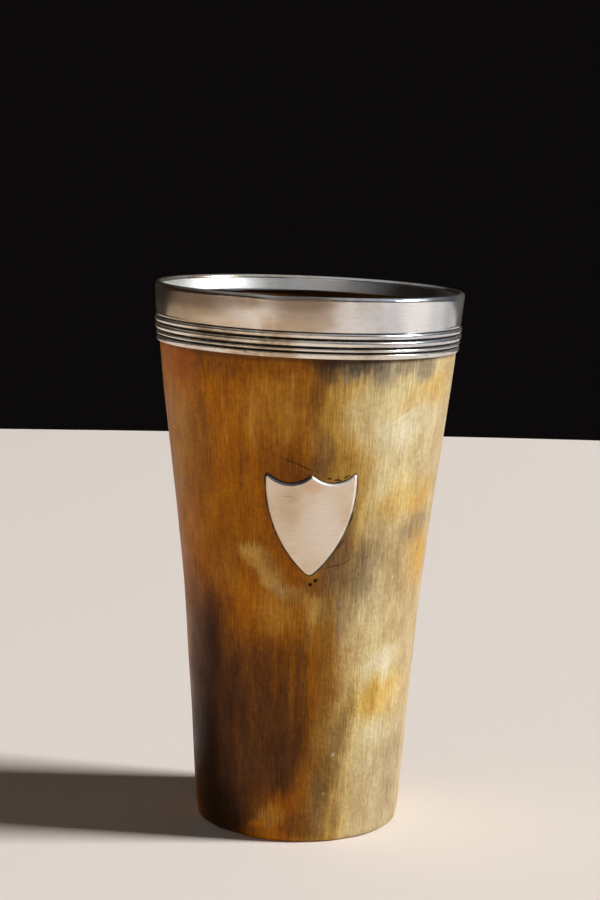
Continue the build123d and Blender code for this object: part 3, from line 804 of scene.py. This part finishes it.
fold += [(horn_side(FOLD_LEVEL) - CLING, FOLD_LEVEL)]
outline(collar, bed + band + lip + lining + fold, closed=True)
turn(collar, COLLAR_TURN_STEPS)
for face in collar.faces:
    middle = face.calc_center_median()
    if middle.z < BAND_LEVEL - TINY:
        face.material_index = GROOVE_BLACK
    elif middle.to_2d().length < LIP_IN:
        face.material_index = LINING_SILVER
    else:
        face.material_index = BAND_SILVER
for vert in collar.verts:
    spoke = Vector((vert.co.x, vert.co.y, 0)).normalized()
    push = BAND_RIPPLE * (noise.noise(vert.co / BAND_RIPPLE_SIZE) - 1)
    dent = bump((bearing(vert.co) - LIP_DENT_BEARING) / LIP_DENT_SPREAD, 1.0)
    dent *= bump(vert.co.z - LIP_LEVEL, LIP_DENT_REACH)
    if vert.co.z > BAND_LEVEL + TINY:
        vert.co += spoke * (push - LIP_DENT * dent)
        vert.co.z -= LIP_DROP * dent
    in_lining = vert.co.to_2d().length < lip_middle and vert.co.z > BAND_LEVEL
    if in_lining and vert.co.z < LINING_LEVEL + TINY:
        vert.co.z += LINING_WAVE * noise.noise(vert.co / LINING_WAVE_SIZE)
collar.transform(COLLAR_FRAME)
finish_piece(collar, "rim_collar", "silver", burnished_silver, groove_black, lining_silver)

# Reeds: three half-round silver wires, drawn, bent round and soldered to the collar with narrow gaps between.
# The gaps hold black polish and tarnish, and the crests are rubbed bright.
WIRE_GAP = 0.45 * MM
STRIP_WIDTH = 1.2 * MM
WIRE_ROWS = 8
# Width and height of each wire, from the strip upwards.
REED_SIZES = {
    "lower_reed": (0.7 * MM, 0.35 * MM),
    "middle_reed": (1.4 * MM, 0.5 * MM),
    "upper_reed": (1.25 * MM, 0.45 * MM),
}
# Drawn wire, rubbed along its crest: the same silver, with the band's cool tint on the right, which is part
# tarnish and part painted reflection.
reed_silver = silver_material(
    "drawn_silver_wire", ("#BFA98E", "#ECDAC4", "#F6EEE2"), BAND_TARNISH_AND_REFLECTIONS[:1], smooth=0.16
)
reed_low = BED_LEVEL + STRIP_WIDTH + WIRE_GAP
for reed_name, (reed_width, reed_height) in REED_SIZES.items():
    reed = bmesh.new()
    section = [(bed_radius(level) - CLING, level) for level in (reed_low, reed_low + reed_width)]
    for step in range(WIRE_ROWS + 1):
        swing = math.pi * step / WIRE_ROWS
        height = reed_low + reed_width * (1 + math.cos(swing)) / 2
        section.append((bed_radius(height) + reed_height * math.sin(swing), height))
    outline(reed, section, closed=True)
    turn(reed, COLLAR_TURN_STEPS)
    reed.transform(COLLAR_FRAME)
    finish_piece(reed, reed_name, "silver", reed_silver)
    reed_low += reed_width + WIRE_GAP

# Edge strip: a flat silver strip soldered round the collar's lower edge, which it closes down on the horn.
# Five small pins go through it, filed nearly flush.
STRIP_THICKNESS = 0.3 * MM
STRIP_ROUND = 0.2 * MM
STRIP_ROUND_STEPS = 3
strip = bmesh.new()
strip_high = BED_LEVEL + STRIP_WIDTH
outline(
    strip,
    [
        (bed_radius(BED_LEVEL) - CLING, BED_LEVEL),
        (bed_radius(BED_LEVEL) + STRIP_THICKNESS, BED_LEVEL),
        (bed_radius(strip_high) + STRIP_THICKNESS, strip_high),
        (bed_radius(strip_high) - CLING, strip_high),
    ],
    closed=True,
)
turn(strip, COLLAR_TURN_STEPS)
strip_face = bed_radius(BED_LEVEL) + STRIP_THICKNESS / 2
strip_rims = [
    edge for edge in strip.edges
    if abs(edge.verts[0].co.z - edge.verts[1].co.z) < TINY
    and min(vert.co.to_2d().length for vert in edge.verts) > strip_face
]
round_edges(strip, strip_rims, STRIP_ROUND, STRIP_ROUND_STEPS)
strip.transform(COLLAR_FRAME)
finish_piece(strip, "edge_strip", "silver", reed_silver)

# Collar pins: five short lengths of silver wire, driven through the strip into blind holes in the horn.
# Their ends are filed to a low dome.
PIN_COUNT = 5
PIN_FIRST = -25.5
PIN_RADIUS = 0.45 * MM
PIN_PROUD = 0.12 * MM
PIN_LENGTH = 2.2 * MM
PIN_ROUND = 0.1 * MM
PEG_SIDES = 24
PEG_ROUND_STEPS = 3


def peg(shape, radius, length, rounding, place):
    """A round peg along local -Z with its end at the origin, rounded there, put in its place."""
    made = bmesh.ops.create_circle(shape, cap_ends=True, segments=PEG_SIDES, radius=radius)["verts"]
    foot = made[0].link_faces[0]
    grown = bmesh.ops.extrude_face_region(shape, geom=[foot])["geom"]
    top = [part for part in grown if isinstance(part, bmesh.types.BMVert)]
    bmesh.ops.translate(shape, verts=made, vec=(0, 0, -length))
    rim = [part for part in grown if isinstance(part, bmesh.types.BMEdge)]
    before = set(shape.verts) - set(made) - set(top)
    round_edges(shape, rim, rounding, PEG_ROUND_STEPS)
    bmesh.ops.transform(shape, matrix=place, verts=[vert for vert in shape.verts if vert not in before])


pins = bmesh.new()
pin_level = BED_LEVEL + STRIP_WIDTH / 2
pin_seat = bed_radius(pin_level) + STRIP_THICKNESS + PIN_PROUD
for index in range(PIN_COUNT):
    pin_turn = math.radians(PIN_FIRST + 360 / PIN_COUNT * index)
    peg(
        pins, PIN_RADIUS, PIN_LENGTH, PIN_ROUND,
        COLLAR_FRAME
        @ Matrix.Rotation(pin_turn, 4, "Z")
        @ Matrix.Translation((0, -pin_seat, pin_level))
        @ Matrix.Rotation(math.radians(90), 4, "X"),
    )
bmesh.ops.recalc_face_normals(pins, faces=pins.faces[:])
finish_piece(pins, "collar_pins", "silver", reed_silver)

# Shield: a plate of sheet silver sawn to a heater shape with two scallops along the top, bent to the horn and
# left blank. Its corners are worn. Its rounded edge is rubbed bright on the right, and along the top left it
# is tarnished and darkened with painted shade. Its face is polished flat, with a few scratches.
SHIELD_THICKNESS = 0.8 * MM
SHIELD_ROUND_STEPS = 4
SHIELD_CORNER_RISE = 2.1 * MM
SHIELD_PEAK_DROP = 0.5 * MM
SHIELD_SCALLOP_DROP = 2.7 * MM
SHIELD_SINK = 0.05 * MM
SHIELD_ARC_STEPS = 24
SHIELD_CUT = 0.9 * MM
SHIELD_CORNER_WEAR = 0.4
# A face counts as a top one or a flat one when this much of its normal points that way.
TOP_FACING = 0.1
FLAT_FACING = 0.99
# The width of the grime and painted shadow, the thickness of its rim, its waves, and how high it climbs the
# plate.
DIRT_AND_SHADOW_WIDTH = 0.32 * MM
DIRT_AND_SHADOW_SKIN = 0.06 * MM
DIRT_AND_SHADOW_WAVE = 0.6 * MM
DIRT_AND_SHADOW_WAVE_SIZE = 2.2 * MM
DIRT_AND_SHADOW_RISE = 0.2 * MM
# The rounded edge of the plate starts where the grime and painted shadow end.
SHIELD_ROUND = SHIELD_THICKNESS - DIRT_AND_SHADOW_RISE
# Places of the shield's materials on its mesh.
PLATE_SILVER = 0
GRIME_AND_SHADOW = 1
TARNISH_AND_SHADE_EDGE = 2
RUBBED_EDGE = 3
# Tarnish and scratches, with their values in the same order as on the band.
SHIELD_TARNISH = [
    ("#D9A676", 1, 89.0, 4, 1.4, 0, 0.5),
    ("#CBA982", -9, 84.0, 4, 5.0, 10, 0.35),
    ("#F3EDE4", 6, 79.0, 6, 8.0, 10, 0.45),
    ("#8E7560", -9.5, 86.8, 2.2, 0.1, -12, 0.5),
    ("#8E7560", -8.0, 85.6, 1.6, 0.08, -20, 0.4),
    ("#F8F0E4", 4.0, 82.0, 0.3, 2.6, 8, 0.5),
]
shield_low, shield_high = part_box("shield_plate")
shield_half = (shield_high.x - shield_low.x) / 2
shield_level = shield_high.z - SHIELD_CORNER_RISE
shield_drop = shield_level - shield_low.z
side_radius = (shield_half**2 + shield_drop**2) / (2 * shield_half)
corner_half = shield_half - side_radius + math.sqrt(side_radius**2 - SHIELD_CORNER_RISE**2)
peak_height = shield_high.z - SHIELD_PEAK_DROP
dip_height = shield_high.z - SHIELD_SCALLOP_DROP


def circle_through(first, middle, last, steps):
    """Points along the arc through three points, without its last point."""
    (x1, z1), (x2, z2), (x3, z3) = first, middle, last
    twice = 2 * (x1 * (z2 - z3) + x2 * (z3 - z1) + x3 * (z1 - z2))
    squares = [x * x + z * z for x, z in (first, middle, last)]
    x0 = (squares[0] * (z2 - z3) + squares[1] * (z3 - z1) + squares[2] * (z1 - z2)) / twice
    z0 = (squares[0] * (x3 - x2) + squares[1] * (x1 - x3) + squares[2] * (x2 - x1)) / twice
    radius = math.hypot(x1 - x0, z1 - z0)
    begin = math.atan2(z1 - z0, x1 - x0)
    sweep = math.remainder(math.atan2(z3 - z0, x3 - x0) - begin, math.tau)
    swings = [begin + sweep * step / steps for step in range(steps)]
    return [(x0 + radius * math.cos(swing), z0 + radius * math.sin(swing)) for swing in swings]


left_corner = (-corner_half, shield_high.z)
right_corner = (corner_half, shield_high.z)
tip = (0, shield_low.z)
peak = (0, peak_height)
shield_points = (
    circle_through(left_corner, (-shield_half, shield_level), tip, SHIELD_ARC_STEPS)
    + circle_through(tip, (shield_half, shield_level), right_corner, SHIELD_ARC_STEPS)
    + circle_through(right_corner, (corner_half / 2, dip_height), peak, SHIELD_ARC_STEPS // 2)
    + circle_through(peak, (-corner_half / 2, dip_height), left_corner, SHIELD_ARC_STEPS // 2)
)
# Grime has dried in the corner between plate and horn, a little beyond the outline, and the same dark rim is
# painted shadow of the gap there.
dirt_and_shadow_points = []
for index, (x, z) in enumerate(shield_points):
    before = Vector(shield_points[index - 1])
    after = Vector(shield_points[(index + 1) % len(shield_points)])
    along = (after - before).normalized()
    dirt_and_shadow_points.append((x + along.y * DIRT_AND_SHADOW_WIDTH, z - along.x * DIRT_AND_SHADOW_WIDTH))
shield = bmesh.new()
back = shield.faces.new([shield.verts.new((x, -DIRT_AND_SHADOW_SKIN, z)) for x, z in dirt_and_shadow_points])
worn_corners = [back.verts[place] for place in (0, SHIELD_ARC_STEPS, 2 * SHIELD_ARC_STEPS)]
bmesh.ops.smooth_vert(
    shield, verts=worn_corners, factor=SHIELD_CORNER_WEAR, use_axis_x=True, use_axis_z=True
)
back.normal_update()
grown = bmesh.ops.extrude_face_region(shield, geom=[back])["geom"]
front = next(part for part in grown if isinstance(part, bmesh.types.BMFace))
bmesh.ops.translate(shield, verts=back.verts[:], vec=(0, DIRT_AND_SHADOW_SKIN, 0))
bmesh.ops.recalc_face_normals(shield, faces=shield.faces[:])
bmesh.ops.inset_individual(shield, faces=[front, back], thickness=DIRT_AND_SHADOW_WIDTH, use_even_offset=True)
for face in shield.faces:
    face.material_index = PLATE_SILVER if face in (front, back) else GRIME_AND_SHADOW
plate_corners = {*front.verts, *back.verts}
for vert in shield.verts:
    if vert not in plate_corners:
        vert.co.y += DIRT_AND_SHADOW_WAVE * abs(noise.noise(vert.co / DIRT_AND_SHADOW_WAVE_SIZE))
bmesh.ops.translate(shield, verts=front.verts[:], vec=(0, DIRT_AND_SHADOW_SKIN - DIRT_AND_SHADOW_RISE, 0))
for step in range(SHIELD_ROUND_STEPS):
    start = math.pi / 2 * step / SHIELD_ROUND_STEPS
    end = math.pi / 2 * (step + 1) / SHIELD_ROUND_STEPS
    ring = bmesh.ops.inset_individual(
        shield, faces=[front], use_even_offset=True,
        thickness=SHIELD_ROUND * (math.cos(start) - math.cos(end)),
        depth=SHIELD_ROUND * (math.sin(end) - math.sin(start)),
    )["faces"]
    # Edge faces on the right take the rough rubbed silver, and the top ones on the left a dark silver as
    # painted shade.
    for face in ring:
        if face.calc_center_median().x > 0:
            face.material_index = RUBBED_EDGE
        elif face.normal.z > TOP_FACING:
            face.material_index = TARNISH_AND_SHADE_EDGE
# The flat faces are cut into small cells, so that they can bend.
for across, low, high in (
    (Vector((1, 0, 0)), -shield_half, shield_half),
    (Vector((0, 0, 1)), shield_low.z, shield_high.z),
):
    for cut in np.arange(low + SHIELD_CUT / 2, high, SHIELD_CUT):
        flat_faces = [
            face for face in shield.faces
            if abs(face.normal.y) > FLAT_FACING and face.material_index == PLATE_SILVER
        ]
        parts = {part for face in flat_faces for part in (face, *face.edges, *face.verts)}
        bmesh.ops.bisect_plane(shield, geom=list(parts), dist=TINY, plane_co=across * cut, plane_no=across)
for vert in shield.verts:
    rise = -vert.co.y * (SHIELD_THICKNESS + SHIELD_SINK) / SHIELD_THICKNESS
    reach = horn_side(vert.co.z) - SHIELD_SINK + rise
    vert.co.y = -math.sqrt(reach**2 - vert.co.x**2)
bmesh.ops.recalc_face_normals(shield, faces=shield.faces[:])
# Dried polish and skin grease, with painted shadow of the gap under the plate's edge: dull, dark brown.
grime_and_shadow, _, grime_shader = new_material("dried_grime_and_painted_shadow")
grime_shader.inputs["Base Color"].default_value = HORN_COLOURS["grime"]
grime_shader.inputs["Roughness"].default_value = 0.8
# The plate is a soft warm mirror. Its edge is grey on the top left, tarnished where polish never reached it
# and darkened further as painted shade, and finely scratched and pale where hands have rubbed it.
shield_silver = silver_material("polished_silver_plate", ("#DFC8AE", "#E7D2B9", "#EAD7C1"), SHIELD_TARNISH)
tarnish_and_shade_edge = silver_material("tarnished_silver_edge_painted_shade", ("#5E5B5C", "#7A777A", "#918F94"))
bright_edge = silver_material("rubbed_silver_edge", ("#DACDBF", "#EBE1D6", "#F8F2EA"), smooth=0.48)
finish_piece(shield, "shield_plate", "silver", shield_silver, grime_and_shadow, tarnish_and_shade_edge, bright_edge)

# Shield pins: two silver pegs soldered to the back of the shield. They pass through the horn, and their ends
# are headed over inside the cup.
SHIELD_PIN_RADIUS = 0.6 * MM
SHIELD_PIN_INSET = 4.0 * MM
RIVET_RADIUS = 1.1 * MM
RIVET_HEIGHT = 0.5 * MM
RIVET_ROUND = 0.4 * MM
rivets = bmesh.new()
for level in (peak_height - SHIELD_PIN_INSET, shield_low.z + SHIELD_PIN_INSET):
    inner = horn_bore(level)
    facing_in = (
        Matrix.Translation((0, -inner + RIVET_HEIGHT, level)) @ Matrix.Rotation(math.radians(-90), 4, "X")
    )
    peg(rivets, RIVET_RADIUS, RIVET_HEIGHT + CLING, RIVET_ROUND, facing_in)
    inside_head = facing_in @ Matrix.Translation((0, 0, -RIVET_HEIGHT / 2))
    peg(rivets, SHIELD_PIN_RADIUS, horn_side(level) - inner + RIVET_HEIGHT / 2, PIN_ROUND, inside_head)
bmesh.ops.recalc_face_normals(rivets, faces=rivets.faces[:])
finish_piece(rivets, "shield_pins", "silver", reed_silver)

# Stage: a pale matt floor that ends in the dark behind the cup, under a grey ceiling that the silver mirrors.
# The key lamp is high on the right, a long low one fills from the left, and a weak broad one stands in front.
# The camera doesn't see the lamps themselves.
FLOOR_RADIUS = 3.0
FLOOR_STEPS = 256
FLOOR_BEHIND = 0.69
DARK_BEHIND = colour("#0C0A0A")
AMBIENT = colour("#2A2724")
CEILING = colour("#98A2AE")
# The ceiling begins and is full at these heights of a line of sight, from 0 level to 1 straight up.
CEILING_LOW = 0.35
CEILING_FULL = 0.85
CUP_MIDDLE = Vector((0, 0, 0.07))
CAMERA_PLACE = Vector((-25.47, -520.8, 169.8)) * MM
CAMERA_TURN = -2.65
CAMERA_PITCH = 8.42
CAMERA_ROLL = 1.40
CAMERA_LENS = 85
CAMERA_SENSOR = 36

floor_shape = bmesh.new()
bmesh.ops.create_circle(
    floor_shape, cap_ends=True, segments=FLOOR_STEPS, radius=FLOOR_RADIUS,
    matrix=Matrix.Translation((0, FLOOR_BEHIND - FLOOR_RADIUS, 0)),
)
floor_mesh = bpy.data.meshes.new("floor")
floor_shape.to_mesh(floor_mesh)
floor_shape.free()
floor = bpy.data.objects.new("floor", floor_mesh)
bpy.context.scene.collection.objects.link(floor)
floor_material, _, floor_shader = new_material("pale_matt_floor")
floor_shader.inputs["Base Color"].default_value = colour("#E9DFD7")
floor_shader.inputs["Specular IOR Level"].default_value = 0.0
floor_mesh.materials.append(floor_material)

world = bpy.data.worlds.new("studio")
world.use_nodes = True
world_tree = world.node_tree
ray = add(world_tree, "ShaderNodeLightPath")
look = add(world_tree, "ShaderNodeTexCoord").outputs["Generated"]
upward = add(world_tree, "ShaderNodeSeparateXYZ", {0: look}).outputs["Z"]
overhead = add(
    world_tree, "ShaderNodeMapRange", {"Value": upward, "From Min": CEILING_LOW, "From Max": CEILING_FULL}
).outputs[0]
backdrop = add(
    world_tree, "ShaderNodeMix", {0: overhead, 6: DARK_BEHIND, 7: CEILING}, data_type="RGBA"
).outputs[2]
shown = ray.outputs["Is Camera Ray"]
for kind in ("Is Glossy Ray", "Is Transmission Ray"):
    shown = add(
        world_tree, "ShaderNodeMath", {0: shown, 1: ray.outputs[kind]}, operation="MAXIMUM"
    ).outputs[0]
around = add(world_tree, "ShaderNodeMix", {0: shown, 6: AMBIENT, 7: backdrop}, data_type="RGBA").outputs[2]
world_tree.links.new(around, world_tree.nodes["Background"].inputs["Color"])
bpy.context.scene.world = world


def lamp(name, place, width, height, power, tint):
    """A soft rectangular lamp aimed at the middle of the cup."""
    light = bpy.data.lights.new(name, "AREA")
    light.shape = "RECTANGLE"
    light.size = width
    light.size_y = height
    light.energy = power
    light.color = colour(tint)[:3]
    holder = bpy.data.objects.new(name, light)
    holder.location = place
    holder.visible_camera = False
    holder.rotation_euler = (CUP_MIDDLE - Vector(place)).to_track_quat("-Z", "Y").to_euler()
    bpy.context.scene.collection.objects.link(holder)
    return holder


lamp("key", place=(8.24, -0.96, 5.28), width=2.0, height=2.0, power=1540.0, tint="#FBFCFC")
fill = lamp("fill", place=(-1.9, -1.3, 0.19), width=1.8, height=0.32, power=22.4, tint="#FFF3E4")
fill.visible_glossy = False
lamp("front", place=(-0.6, -3.4, 1.0), width=3.0, height=1.6, power=6.2, tint="#FFF6EC")

camera_data = bpy.data.cameras.new("camera")
camera_data.lens = CAMERA_LENS
camera_data.sensor_width = CAMERA_SENSOR
camera = bpy.data.objects.new("camera", camera_data)
camera.matrix_world = (
    Matrix.Translation(CAMERA_PLACE)
    @ Matrix.Rotation(math.radians(CAMERA_TURN), 4, "Z")
    @ Matrix.Rotation(math.radians(90 - CAMERA_PITCH), 4, "X")
    @ Matrix.Rotation(math.radians(CAMERA_ROLL), 4, "Z")
)
bpy.context.scene.collection.objects.link(camera)
bpy.context.scene.camera = camera
bpy.context.scene.view_settings.view_transform = "Standard"
